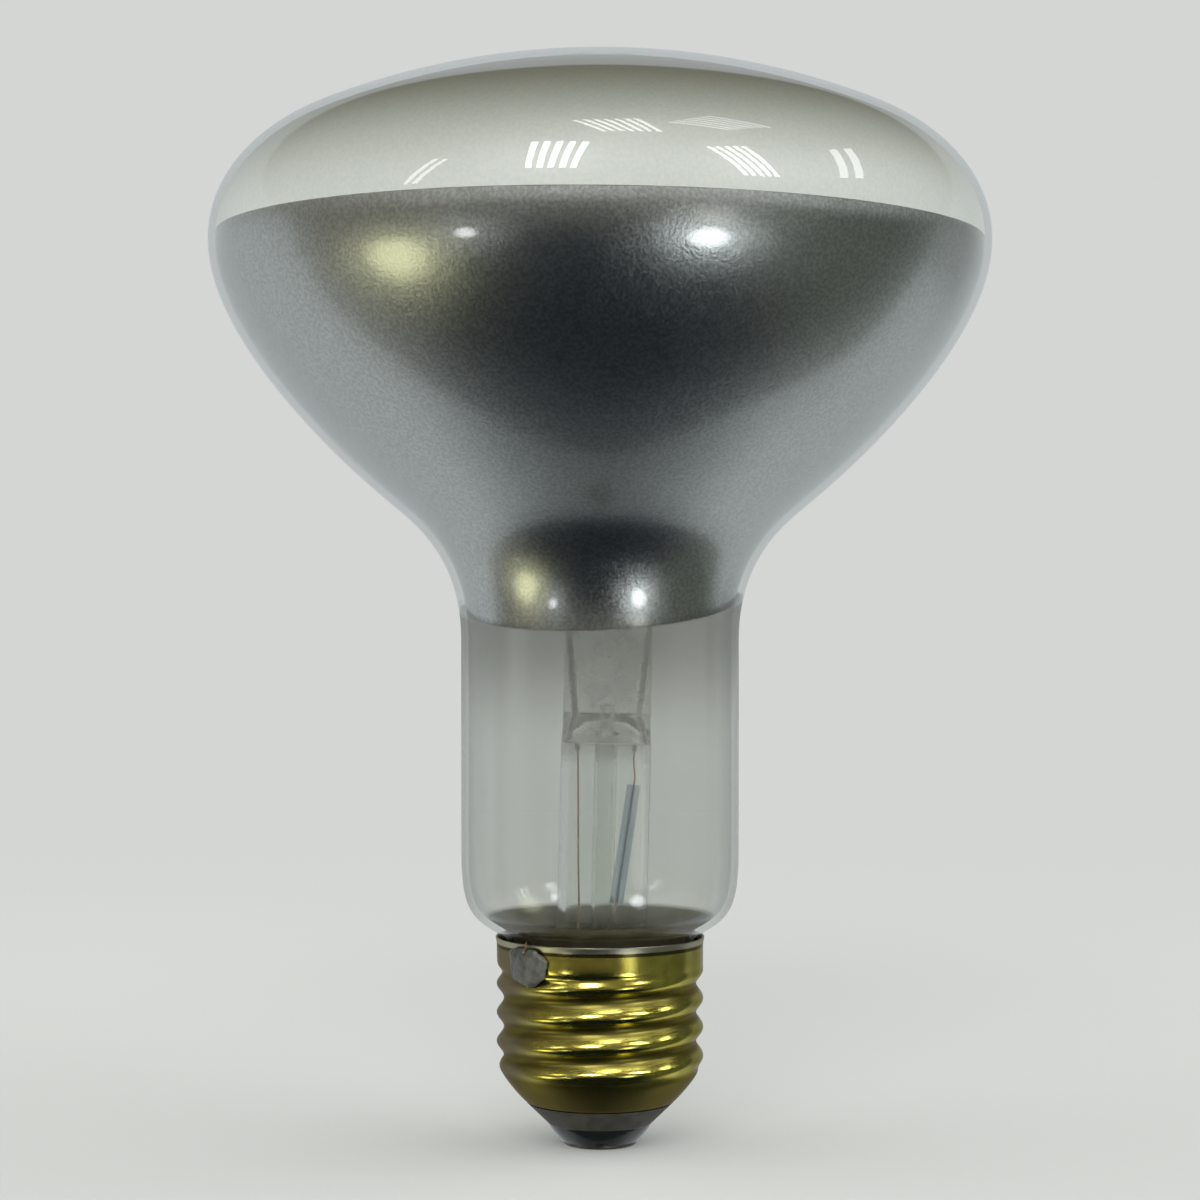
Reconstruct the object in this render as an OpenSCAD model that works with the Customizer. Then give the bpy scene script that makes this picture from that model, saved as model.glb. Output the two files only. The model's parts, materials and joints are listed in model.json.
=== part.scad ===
// Reflector bulb: a sealed incandescent lamp with a mirrored parabolic head,
// a frosted crown, a clear neck that shows the glass stem, and a brass screw cap.
// Millimetres. The bulb's axis is Z, the centre contact's face is at zero
// and the side that shows in front looks along -Y.

/* [Glass] */
// Widest diameter of the glass
glass_d = 98.2; // [92:0.1:106]
// Wall of the blown glass
glass_t = 0.9; // [0.6:0.05:1.2]
// Height of the crown above the widest place
crown_h = 23.4; // [20:0.1:30]
// Radius of the crown's arc
crown_r = 94.3; // [75:0.1:130]
// Height of the reflector from the neck to the widest place
reflector_h = 50.8; // [45:0.1:60]
// Slope of the reflector's flank from the axis, in degrees
flank_a = 51.6; // [47:0.1:55]
// Outer diameter of the straight neck
neck_d = 35; // [33:0.1:38]
// Length of the straight neck
neck_l = 25.2; // [22:0.1:30]
// Height of the shoulder between the cap's rim and the neck
shoulder_h = 10.8; // [10:0.1:14]
// Outer diameter of the glass where it ends inside the cap
seal_d = 23.1; // [22:0.1:23.2]
// Depth of the sealed end below the cap's rim
seal_depth = 5.6; // [4:0.1:6]

/* [Mirror coating] */
// Height of the coating's upper edge above the widest place
mirror_over = 0.6; // [0:0.1:2]
// Tilt of the upper edge to the right, in degrees
mirror_top_tilt = 0.5; // [0:0.1:1.5]
// Reach of the coating down into the fillet, above the straight neck's top
mirror_low = 5.3; // [3:0.1:8]
// Tilt of the lower edge to the left, in degrees
mirror_low_tilt = 2.4; // [0:0.1:4]
// Tilt of the lower edge to the front, in degrees
mirror_front_tilt = 9.8; // [0:0.1:12]

/* [Cap] */
// Height of the cap's rim above the contact's face
cap_l = 26.2; // [25:0.1:27]
// Diameter over the thread's crests
thread_d = 26.2; // [26:0.05:26.4]
// Diameter at the thread's roots
root_d = 24.26; // [24.1:0.02:24.5]
// Pitch of the thread
pitch = 3.629; // [3.5:0.001:3.8]
// Diameter of the plain band above the thread
band_d = 26.1; // [26:0.05:26.3]
// Diameter of the flared rim
rim_d = 26.5; // [26.3:0.05:26.8]
// Thickness of the brass sheet
sheet_t = 0.3; // [0.2:0.02:0.36]
// Diameter of the shell's lower mouth
mouth_d = 18.7; // [17.5:0.1:19.5]
// Height of the shell's lower mouth
mouth_z = 5.4; // [5:0.1:6]
// Diameter of the centre contact
contact_d = 9.3; // [8.5:0.1:10]
// Thickness of the centre contact
contact_t = 0.5; // [0.4:0.05:0.7]

/* [Stem] */
// Outer diameter of the stem's tube
stem_d = 11.4; // [11:0.1:12]
// Wall of the stem's tube
stem_t = 1; // [0.8:0.05:1.1]
// Lean of the stem to the right, in degrees
lean_a = 1.5; // [0:0.1:2]
// Height of the flare that joins the tube to the neck's end
flare_h = 9.4; // [8:0.1:11]
// Length of the stem's tube between the flare and the pinch
tube_l = 20.5; // [19:0.1:24]
// Length of the flattened pinch
pinch_l = 15.5; // [14:0.1:17]
// Thickness of the flattened pinch
pinch_t = 3.6; // [3:0.1:4.5]
// Outer diameter of the exhaust tube
exhaust_d = 2.9; // [2.6:0.1:3.1]
// Bore of the exhaust tube
exhaust_bore = 1.9; // [1.4:0.1:2]
// Diameter of the glass arbor
arbor_d = 2.4; // [2:0.1:3]
// Height of the arbor above the pinch
arbor_l = 14.5; // [12:0.1:17]

/* [Wires] */
// Diameter of the seal wires in the pinch
seal_wire_d = 0.6; // [0.4:0.05:0.7]
// Diameter of the inner leads
inner_lead_d = 0.8; // [0.6:0.05:1]
// Diameter of the outer leads
outer_lead_d = 0.26; // [0.2:0.02:0.28]
// Diameter of the support wires
support_d = 0.4; // [0.3:0.05:0.5]
// Outer diameter of the fuse's sleeve
sleeve_d = 1.7; // [1.5:0.05:1.8]
// Length of the fuse's sleeve
sleeve_l = 15; // [13:0.1:16]
// Height of the filament above the top of the pinch
filament_h = 22; // [20:0.1:24]
// Radius of the filament's arc
filament_r = 9; // [8:0.1:10.5]
// Diameter of the coil
coil_d = 1.1; // [0.9:0.05:1.3]
// Diameter of the coiled wire
coil_wire_d = 0.28; // [0.2:0.02:0.34]
// Pitch of the coil
coil_pitch = 0.95; // [0.8:0.05:1.3]

/* [Hidden] */
$fn = 96;

// Clearance between pieces that touch, and the overrun of every cut
touch = 0.06;
over = 1;
// Gap between the glass and the thin film, and the film's own thickness
film_gap = 0.06;
film_t = 0.12;

glass_r = glass_d / 2;
neck_r = neck_d / 2;
seal_r = seal_d / 2;
seal_z = cap_l - seal_depth;
neck_z = cap_l + shoulder_h;
neck_top = neck_z + neck_l;
widest_z = neck_top + reflector_h;
top_z = widest_z + crown_h;

// Shape of the head: where the flank passes, and how far each curve pulls
flank_r_share = 0.234;
flank_z_share = 0.338;
flank_pull_share = 0.221;
fillet_pull_share = 0.588;
neck_pull_share = 0.153;
widest_pull_share = 0.344;
crown_share = 0.764;
crown_pull_share = 0.624;
shoulder_pull_share = 0.457;
// Shape of the shoulder above the cap, as shares of its height
throat_rise_share = 0.01;
throat_step_share = 0.169;
throat_pull_share = 0.398;
base_pull_share = 0.731;
// Slope of the glass where it leaves the cap
throat_a = 60;
throat_r = (seal_d + band_d) / 4 + touch;

function bez(a, b, c, d, t) =
    pow(1 - t, 3) * a + 3 * t * pow(1 - t, 2) * b + 3 * t * t * (1 - t) * c + pow(t, 3) * d;
function curve(a, b, c, d, n) = [for (i = [1:n]) bez(a, b, c, d, i / n)];
function unit(v) = v / norm(v);
function heading(a) = [sin(a), cos(a)];
function turned(p) = [for (i = [len(p) - 1:-1:0]) p[i]];

// Outline of the glass, from the sealed end up to the crown's pole
flank = [neck_r + flank_r_share * (glass_r - neck_r), neck_top + flank_z_share * reflector_h];
crown_edge_r = crown_share * glass_r;
crown_a = asin(crown_edge_r / crown_r);
crown_edge = [crown_edge_r, top_z - crown_r + crown_r * cos(crown_a)];
throat = [throat_r, cap_l + throat_rise_share * shoulder_h];
sleeve_top = cap_l - throat_step_share * shoulder_h;
glass_line = concat(
    [[seal_r, seal_z], [seal_r, sleeve_top]],
    curve([seal_r, sleeve_top], [seal_r, (sleeve_top + throat[1]) / 2],
        throat - heading(throat_a) * (throat[1] - sleeve_top) / 3, throat, 4),
    curve(throat, throat + heading(throat_a) * throat_pull_share * shoulder_h,
        [neck_r, neck_z - base_pull_share * shoulder_h], [neck_r, neck_z], 12),
    [[neck_r, neck_top]],
    curve([neck_r, neck_top], [neck_r, neck_top + neck_pull_share * (flank[1] - neck_top)],
        flank - heading(flank_a) * fillet_pull_share * (flank[1] - neck_top), flank, 12),
    curve(flank, flank + heading(flank_a) * flank_pull_share * reflector_h,
        [glass_r, widest_z - widest_pull_share * (widest_z - flank[1])], [glass_r, widest_z], 14),
    curve([glass_r, widest_z], [glass_r, widest_z + shoulder_pull_share * (crown_edge[1] - widest_z)],
        crown_edge + [cos(crown_a), -sin(crown_a)] * crown_pull_share * (glass_r - crown_edge_r),
        crown_edge, 10),
    [for (i = [9:-1:0]) [crown_r * sin(crown_a * i / 10), top_z - crown_r + crown_r * cos(crown_a * i / 10)]]
);
last = len(glass_line) - 1;

// The same outline moved inwards by d, square to the curve
function inward(i, d) =
    i == 0 ? glass_line[0] - [d, 0]
    : i == last ? glass_line[last] - [0, d]
    : let (t = unit(glass_line[i + 1] - glass_line[i - 1])) glass_line[i] - d * [t[1], -t[0]];
function glass_inset(d) = [for (i = [0:last]) inward(i, d)];

module glass_bulb() {
    color([0.86, 0.88, 0.86, 0.35])
        rotate_extrude()
            polygon(concat(glass_line, turned(glass_inset(glass_t))));
}

// The film follows the inset line from the neck past the widest place, and two planes trim it
function film_line(d) =
    [for (p = glass_inset(d)) if (p[1] > neck_top - mirror_low && p[1] < crown_edge[1]) p];
module film_ring() {
    rotate_extrude()
        polygon(concat(film_line(glass_t + film_gap), turned(film_line(glass_t + film_gap + film_t))));
}

module mirror_coating() {
    color([0.62, 0.63, 0.66])
        difference() {
            film_ring();
            translate([0, 0, widest_z + mirror_over])
                rotate([0, mirror_top_tilt, 0])
                    cylinder(h = crown_h, r = glass_d);
            translate([0, 0, neck_top + mirror_low])
                rotate([mirror_front_tilt, -mirror_low_tilt, 0])
                    translate([0, 0, -neck_l])
                        cylinder(h = neck_l, r = neck_d);
        }
}

// The stem and all that it carries lean about the middle of the sealed end
flare_top = seal_z + flare_h;
pinch_z = flare_top + tube_l;
pinch_top = pinch_z + pinch_l;
stem_r = stem_d / 2;
pinch_w = stem_d - touch * 5;
module leaning() {
    translate([0, 0, seal_z])
        rotate([0, lean_a, 0])
            translate([0, 0, -seal_z])
                children();
}
function lean(p) = [
    p[0] * cos(lean_a) + (p[2] - seal_z) * sin(lean_a),
    p[1],
    seal_z - p[0] * sin(lean_a) + (p[2] - seal_z) * cos(lean_a)
];

// A straight rod between two points of the XZ plane
module rod(a, b, d) {
    translate(a)
        rotate([0, atan2(b[0] - a[0], b[2] - a[2]), 0])
            cylinder(h = norm(b - a), d = d);
}

// The seal wires spread from the tube's bore towards the pinch's top edge
wire_low_share = 0.63;
wire_high_share = 0.86;
wire_stand = 1;
function seal_foot(side) = [side * wire_low_share * stem_r, 0, pinch_z - wire_stand];
function seal_head(side) = [side * wire_high_share * stem_r, 0, pinch_top + wire_stand];
// A point on the same line below the foot, where the outer lead starts to bend
function seal_tail(side) = lean(seal_foot(side) + unit(seal_foot(side) - seal_head(side)) * wire_stand);

flare_line = curve([seal_r - glass_t, seal_z], [stem_r + glass_t, seal_z],
    [stem_r, seal_z + flare_h / 2], [stem_r, flare_top], 8);
flare_under = curve([seal_r - glass_t, seal_z - stem_t], [stem_r, seal_z - stem_t],
    [stem_r - stem_t, seal_z + flare_h / 2 - stem_t], [stem_r - stem_t, flare_top], 8);
// The pinch is flat from here up, and the gas way opens from its side
pinch_flat_share = 0.24;
blow_hole_share = 0.31;
blow_hole_d = 1.2;

// The rim of the flare is trimmed level, so that the neck's end seats on it
module stem() {
    rim_spare = seal_r * sin(lean_a) + touch;
    pinch_flat = pinch_z + pinch_flat_share * pinch_l;
    color([0.82, 0.85, 0.82, 0.5])
        difference() {
            leaning() {
                rotate_extrude()
                    polygon(concat(
                        [[seal_r - glass_t, seal_z - stem_t - rim_spare],
                         [seal_r, seal_z - stem_t - rim_spare],
                         [seal_r, seal_z + rim_spare],
                         [seal_r - glass_t, seal_z + rim_spare],
                         [seal_r - glass_t, seal_z]],
                        flare_line, [[stem_r, pinch_z], [0, pinch_z], [0, pinch_z - touch],
                         [stem_r - stem_t, pinch_z - touch]],
                        turned(flare_under), [[seal_r - glass_t, seal_z - stem_t]]));
                hull() {
                    translate([0, 0, pinch_z - touch / 2])
                        cylinder(h = touch, r = stem_r - touch, $fn = 32);
                    translate([0, 0, pinch_flat])
                        linear_extrude(touch)
                            pinch_outline(touch, 32);
                }
                translate([0, 0, pinch_flat])
                    linear_extrude(pinch_top - pinch_flat)
                        pinch_outline(0, $fn);
            }
            difference() {
                translate([0, 0, seal_z])
                    cylinder(h = rim_spare * 3, r = seal_r + over);
                translate([0, 0, seal_z - over])
                    cylinder(h = rim_spare * 3 + over * 2, r = seal_r - glass_t - touch);
            }
            translate([0, 0, seal_z - stem_t - rim_spare * 3])
                cylinder(h = rim_spare * 3, r = seal_r + over);
            leaning() {
                translate([0, 0, pinch_z - over])
                    cylinder(h = over + blow_hole_share * pinch_l, d = exhaust_bore);
                translate([0, 0, pinch_z + blow_hole_share * pinch_l - blow_hole_d / 3])
                    rotate([90, 0, 0])
                        cylinder(h = stem_r, d = blow_hole_d);
                for (side = [-1, 1])
                    rod(seal_foot(side), seal_head(side), seal_wire_d + touch);
            }
        }
}

module pinch_outline(inset, sides) {
    thick = pinch_t - 2 * inset;
    square([pinch_w - pinch_t, thick], center = true);
    for (side = [-1, 1])
        translate([side * (pinch_w - pinch_t) / 2, 0])
            circle(d = thick, $fn = sides);
}

// The exhaust tube hangs from the pinch and is melted shut at its tip
exhaust_l = 38;
tip_h = 3;
module exhaust_tube() {
    outer_r = exhaust_d / 2;
    bore_r = exhaust_bore / 2;
    tip_z = pinch_z - exhaust_l;
    color([0.84, 0.87, 0.84, 0.5])
        leaning()
            rotate_extrude()
                polygon(concat(
                    [[bore_r, pinch_z - touch], [outer_r, pinch_z - touch]],
                    curve([outer_r, tip_z + tip_h], [outer_r, tip_z + tip_h / 2],
                        [outer_r / 2, tip_z], [0, tip_z], 6),
                    curve([0, tip_z + tip_h / 2], [bore_r / 2, tip_z + tip_h / 2],
                        [bore_r, tip_z + tip_h], [bore_r, tip_z + tip_h + bore_r], 4)));
}

// A glass rod with a button at its head that holds the support wires
button_d = 4.6;
button_h = 3.4;
module arbor() {
    rod_r = arbor_d / 2;
    head = pinch_top + arbor_l;
    color([0.84, 0.87, 0.84, 0.5])
        leaning()
            rotate_extrude()
                polygon(concat(
                    [[0, pinch_top], [rod_r, pinch_top], [rod_r, head - button_h]],
                    curve([rod_r, head - button_h], [button_d / 2, head - button_h],
                        [button_d / 2, head - button_h / 2], [button_d / 2, head - button_h / 2], 6),
                    curve([button_d / 2, head - button_h / 2], [button_d / 2, head - button_h / 6],
                        [button_d / 3, head], [0, head], 8)));
}

module seal_wire(side) {
    color([0.62, 0.36, 0.24])
        leaning()
            rod(seal_foot(side), seal_head(side), seal_wire_d);
}

// Skins a list of rings, each with as many points; a ring of rings has no end faces
module skin(rings, ring_of_rings = false) {
    n = len(rings[0]);
    m = len(rings);
    rows = ring_of_rings ? m : m - 1;
    function at(i, j) = (i % m) * n + j % n;
    sides = [for (i = [0:rows - 1], j = [0:n - 1], k = [0, 1])
        k == 0 ? [at(i, j), at(i + 1, j), at(i + 1, j + 1)] : [at(i, j), at(i + 1, j + 1), at(i, j + 1)]];
    ends = ring_of_rings ? [] : [[for (j = [0:n - 1]) j], [for (j = [n - 1:-1:0]) (m - 1) * n + j]];
    polyhedron(points = [for (r = rings, p = r) p], faces = concat(sides, ends), convexity = 8);
}

// Rings of a round wire along a path; each ring's first spoke leans to a given direction
function tangent(p, i) = unit(p[min(i + 1, len(p) - 1)] - p[max(i - 1, 0)]);
function wire_rings(path, towards, d, sides) = [for (i = [0:len(path) - 1])
    let (t = tangent(path, i), b = unit(cross(t, towards[i])), a = cross(b, t))
        [for (j = [0:sides - 1])
            path[i] + d / 2 * (a * cos(360 * j / sides) + b * sin(360 * j / sides))]];

// A smooth run through hand-set points, each pulled along the way to its neighbours
function between(p, i, t) = let (
    a = p[max(i - 1, 0)], b = p[i], c = p[i + 1], d = p[min(i + 2, len(p) - 1)], pull = norm(c - b) / 3)
    bez(b, b + unit(c - a) * pull, c - unit(d - b) * pull, c, t);
function smooth(p, n) =
    concat([for (i = [0:len(p) - 2], k = [0:n - 1]) between(p, i, k / n)], [p[len(p) - 1]]);
wire_sides = 6;
module wire(points, d, steps = 3) {
    path = smooth(points, steps);
    skin(wire_rings(path, [for (p = path) [0, 1, 0]], d, wire_sides));
}

// The inner leads run straight on from the seal wires and then spread to the filament
filament_z = pinch_top + filament_h;
lead_knee_share = 0.3;
lead_elbow_share = 0.82;
lead_spread_share = 0.06;
module inner_lead(side) {
    foot = seal_head(side);
    along = unit(seal_head(side) - seal_foot(side));
    rise = filament_z - coil_d / 2 - coil_wire_d / 2 - inner_lead_d / 2 - touch - foot[2];
    end = [side * filament_r, 0, foot[2] + rise];
    knee = foot + along * lead_knee_share * rise;
    elbow = [end[0] * (1 + lead_spread_share), 0, foot[2] + lead_elbow_share * rise];
    color([0.70, 0.70, 0.68])
        leaning()
            wire([foot, foot + (knee - foot) / 2, knee, elbow, end], inner_lead_d);
}

// The coil lies on half a circle behind the axis
coil_turns = floor(PI * filament_r / coil_pitch) - 1;
coil_steps = 8;
coil_sides = 4;
module filament() {
    n = coil_turns * coil_steps;
    arc = coil_turns * coil_pitch / filament_r * 180 / PI;
    // outward direction and centre of the coil at step i
    function out(i) = let (a = 90 - arc / 2 + arc * i / n) [cos(a), sin(a), 0];
    function spoke(i) = let (b = 360 * i / coil_steps) out(i) * cos(b) + [0, 0, sin(b)];
    path = [for (i = [0:n]) out(i) * filament_r + [0, 0, filament_z] + spoke(i) * coil_d / 2];
    color([0.30, 0.30, 0.32])
        leaning()
            skin(wire_rings(path, [for (i = [0:n]) spoke(i)], coil_wire_d, coil_sides));
}

// Each support rises from the button and curls round the coil without touching it
support_gap = 0.12;
hook_steps = 10;
hook_turn = 300;
module support_wire(a) {
    out = [cos(a), sin(a), 0];
    centre = out * filament_r + [0, 0, filament_z];
    hook_r = (coil_d + coil_wire_d + support_d) / 2 + support_gap;
    root = out * (button_d / 2 + support_d / 2 + touch) + [0, 0, pinch_top + arbor_l - button_h / 2];
    hook = [for (i = [0:hook_steps])
        let (b = -90 + hook_turn * i / hook_steps) centre + hook_r * (out * cos(b) + [0, 0, sin(b)])];
    side = cross(out, [0, 0, 1]);
    path = concat([root, root + (hook[0] - root) / 2 - [0, 0, hook_r]], hook);
    color([0.55, 0.54, 0.52])
        leaning()
            skin(wire_rings(path, [for (p = path) side], support_d, wire_sides));
}

// The side lead leaves the tube below the flare, passes the seal and the rim
// and ends at the lump of solder on the band
side_a = 227.6;
lead_stand = 0.26;
lead_squeeze = 0.17;
function side_at(r, z) = [r * cos(side_a), r * sin(side_a), z];
function side_points() = let (
    foot = lean(seal_foot(-1)),
    under = seal_z - stem_t - lead_stand)
    [
        foot,
        seal_tail(-1),
        [foot[0] * 0.97, 0, flare_top + tube_l / 4],
        [foot[0] * 0.97, 0, flare_top - flare_h / 4],
        side_at(stem_r, seal_z),
        side_at(seal_r - glass_t, under),
        side_at(seal_r + lead_stand / 2, under + lead_stand / 4),
        side_at(seal_r + lead_stand, seal_z - stem_t / 2),
        side_at(seal_r + lead_stand * 1.2, seal_z + stem_t / 4),
        side_at(seal_r + lead_stand * 1.4, sleeve_top - stem_t),
        side_at((throat_r + band_d / 2) / 2 - lead_stand * 1.2, cap_l - lead_stand * 2),
        side_at(shell_in(side_a, cap_l) - lead_squeeze * cos(throat_a), cap_l + lead_squeeze * sin(throat_a)),
        side_at(rim_d / 2 - lead_squeeze, cap_l + lead_squeeze * 1.6),
        side_at(rim_d / 2 + lead_stand / 2, cap_l + lead_stand),
        side_at(rim_d / 2 + lead_stand, cap_l),
        side_at(rim_d / 2 + lead_stand, cap_l - lead_stand * 4)
    ];
module side_lead() {
    color([0.72, 0.45, 0.28])
        wire(side_points(), outer_lead_d);
}

// The fused lead: a short wire, a fuse in a glass sleeve, and a wire to the contact
sleeve_top_share = 0.74;
sleeve_foot_x = 1.9;
sleeve_foot_y = -1.9;
sleeve_grip = 2;
fuse_d = 0.16;
sleeve_bore = outer_lead_d + touch * 2;
function sleeve_head() = let (foot = lean(seal_foot(1)))
    [foot[0] - stem_t * 0.1, -stem_t * 0.4, flare_top + sleeve_top_share * tube_l];
function sleeve_line() = unit([sleeve_foot_x, sleeve_foot_y, flare_top] - sleeve_head());
function sleeve_at(l) = sleeve_head() + sleeve_line() * l;
module along_sleeve(from) {
    v = sleeve_line();
    translate(sleeve_at(from))
        rotate([0, acos(v[2]), atan2(v[1], v[0])])
            children();
}
module fuse_sleeve() {
    color([0.47, 0.52, 0.58, 0.8])
        along_sleeve(0)
            difference() {
                cylinder(h = sleeve_l, d = sleeve_d);
                translate([0, 0, -over])
                    cylinder(h = sleeve_l + 2 * over, d = sleeve_bore);
            }
}
module fuse_wire() {
    color([0.70, 0.70, 0.72])
        along_sleeve(sleeve_grip)
            cylinder(h = sleeve_l - 2 * sleeve_grip, d = fuse_d);
}
module fuse_lead() {
    foot = lean(seal_foot(1));
    color([0.72, 0.45, 0.28])
        wire([foot, seal_tail(1), sleeve_at(-wire_stand), sleeve_at(0), sleeve_at(sleeve_grip)],
             outer_lead_d);
}
module contact_lead() {
    out = sleeve_at(sleeve_l);
    color([0.72, 0.45, 0.28])
        wire([
            sleeve_at(sleeve_l - sleeve_grip), out, out + sleeve_line() * sleeve_grip,
            [out[0] * 0.85, out[1] * 0.8, seal_z],
            [out[0] * 0.8, out[1] * 0.8, mouth_z * 2],
            [0, 0, mouth_z * 1.4],
            [0, 0, mouth_z],
            [0, 0, solder_h]
        ], outer_lead_d);
}

// The shell's outer radius at an angle and a height: band, rim, thread and taper
crest_r = thread_d / 2;
thread_depth = (thread_d - root_d) / 2;
rim_flare_h = 1.2;
band_h = 4.6;
// The thread's depth fades out over these heights above and below its full part
thread_fade_up = 1.2;
thread_fade_down = 2.2;
taper_h = 5.4;
thread_rise = 0.4;
thread_top = cap_l - band_h;
taper_z = mouth_z + taper_h;
thread_low = taper_z + thread_rise;
// The thread's turn is set by a crest on the left, this far below its full top
crest_drop = 1.35;
taper_power = 1.45;
function fade(z) = z > thread_low ? max(0, min(1, (thread_top + thread_fade_up - z) / thread_fade_up))
    : max(0, min(1, (z - thread_low + thread_fade_down) / thread_fade_down));
function envelope(z) =
    z > cap_l - rim_flare_h
        ? band_d / 2 + (rim_d - band_d) / 2 * pow((z - cap_l + rim_flare_h) / rim_flare_h, 2)
    : z > taper_z ? crest_r + (band_d / 2 - crest_r) * (1 - fade(z)) * (z > thread_top ? 1 : 0)
    : crest_r - (crest_r - mouth_d / 2) * pow((taper_z - z) / (taper_z - mouth_z), taper_power);
function shell_r(a, z) =
    envelope(z)
    - thread_depth * fade(z) * (1 - cos(360 * (z - thread_top + crest_drop) / pitch - a + 180)) / 2;
slope_step = 0.01;
function shell_slope(a, z) = (shell_r(a, z + slope_step) - shell_r(a, z - slope_step)) / (2 * slope_step);
function shell_in(a, z) = shell_r(a, z) - sheet_t * sqrt(1 + pow(shell_slope(a, z), 2));

shell_sides = 40;
steps_per_pitch = 10;
function shell_ring(z, inner) = [for (j = [0:shell_sides - 1])
    let (a = 360 * j / shell_sides, r = inner ? shell_in(a, z) : shell_r(a, z)) [r * cos(a), r * sin(a), z]];
shell_step = pitch / steps_per_pitch;
thread_foot = thread_low - thread_fade_down;
thread_rows = ceil((thread_top + thread_fade_up - thread_foot) / shell_step);
shell_levels = concat(
    [for (i = [0:5]) mouth_z + (thread_foot - mouth_z) * i / 6],
    [for (i = [0:thread_rows]) thread_foot + (thread_top + thread_fade_up - thread_foot) * i / thread_rows],
    [for (i = [0:4]) cap_l - rim_flare_h + rim_flare_h * i / 4]
);
module cap_shell() {
    color([0.78, 0.68, 0.30])
        skin(concat(
            [for (i = [len(shell_levels) - 1:-1:0]) shell_ring(shell_levels[i], false)],
            [for (z = shell_levels) shell_ring(z, true)]), ring_of_rings = true);
}

// Cement fills the ring between the glass and the band, with a slot for the side lead
cement_h = 2.8;
cement_low = cap_l - cement_h;
module cap_cement() {
    hug = [for (i = [1:last]) if (glass_line[i][1] > cement_low && glass_line[i][1] < cap_l - rim_flare_h)
        inward(i, -touch)];
    color([0.42, 0.38, 0.29])
        difference() {
            rotate_extrude()
                polygon(concat(
                    [[band_d / 2 - sheet_t - touch, cap_l - rim_flare_h],
                     [band_d / 2 - sheet_t - touch, cement_low],
                     [seal_r + touch, cement_low]], hug));
            rotate([0, 0, side_a])
                translate([0, -outer_lead_d - touch, cement_low - over])
                    cube([band_d, (outer_lead_d + touch) * 2, cap_l]);
        }
}

// Black glass fills the shell's mouth and carries the contact
eyelet_d = 2.6;
eyelet_t = 0.3;
eyelet_h = 1.8;
plug_h = 3.2;
insulator_top = mouth_z + plug_h;
nose_d = 12.6;
nose_z = 2.6;
solder_h = 1.6;
module cap_insulator() {
    inside = [for (i = [0:6]) let (z = mouth_z + (insulator_top - mouth_z) * i / 6)
        [envelope(z) - sheet_t * sqrt(1 + pow(shell_slope(0, z), 2)) - touch, z]];
    bore_r = eyelet_d / 2 + touch;
    color([0.10, 0.10, 0.13])
        rotate_extrude()
            polygon(concat(
                [[bore_r, contact_t], [contact_d / 2 + touch * 3, contact_t]],
                curve([contact_d / 2 + touch * 3, contact_t], [nose_d / 2 - nose_z / 4, nose_z / 2],
                    [nose_d / 2 - touch, nose_z - contact_t],
                    [nose_d / 2 + touch * 4, nose_z + touch * 2], 6),
                [[mouth_d / 2 - sheet_t / 3, mouth_z - touch], [inside[0][0], mouth_z - touch]],
                inside,
                [[nose_d / 2, insulator_top - sheet_t], [eyelet_d, insulator_top - contact_t * 3],
                 [bore_r, insulator_top - contact_t * 3]]));
}

module centre_contact() {
    plate_r = contact_d / 2;
    edge_r = contact_t * 0.7;
    hole_r = eyelet_d / 2 - eyelet_t;
    color([0.66, 0.60, 0.42])
        rotate_extrude()
            polygon(concat(
                [[hole_r, 0], [plate_r - edge_r, 0]],
                [for (i = [1:5]) [plate_r - edge_r + edge_r * sin(18 * i), edge_r - edge_r * cos(18 * i)]],
                [[plate_r, contact_t], [eyelet_d / 2, contact_t], [eyelet_d / 2, contact_t + eyelet_h],
                 [hole_r, contact_t + eyelet_h]]));
}

module contact_solder() {
    r = eyelet_d / 2 - eyelet_t - touch / 2;
    color([0.62, 0.62, 0.60])
        rotate_extrude()
            polygon(concat(
                [[0, solder_h], [0, 0], [r - touch, 0], [r, touch]],
                [[r, solder_h - r / 2]],
                [for (i = [1:3]) [r * cos(30 * i), solder_h - r / 2 + r / 2 * sin(30 * i)]]));
}

// The lump of solder: round blobs pulled together and cut to the band.
// Each row gives shares of its half angle, of its drop below the rim and of its thickest blob.
solder_a = 11;
solder_drop = 4.5;
solder_blob_r = 1.05;
solder_blob_shares = [
    [-1, 0.28, 0.67], [-0.27, 0.18, 0.57], [0.55, 0.23, 0.59], [1, 0.49, 0.57], [0.9, 0.8, 0.63],
    [0.2, 1, 0.7], [-0.8, 0.92, 0.57], [0, 0.56, 1]
];
module side_solder() {
    color([0.55, 0.53, 0.50])
        difference() {
            hull()
                for (b = solder_blob_shares)
                    rotate([0, 0, side_a + b[0] * solder_a])
                        translate([band_d / 2, 0, cap_l - b[1] * solder_drop])
                            sphere(r = b[2] * solder_blob_r, $fn = 16);
            cylinder(h = cap_l - rim_flare_h, r = crest_r + touch / 2);
            translate([0, 0, cap_l - rim_flare_h])
                cylinder(h = cap_l, r = rim_d / 2 + touch);
            rotate([0, 0, side_a])
                translate([rim_d / 2 + lead_stand, 0, cap_l - lead_stand * 4 - touch])
                    cylinder(h = cap_l, d = outer_lead_d + touch * 2);
        }
}

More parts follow.
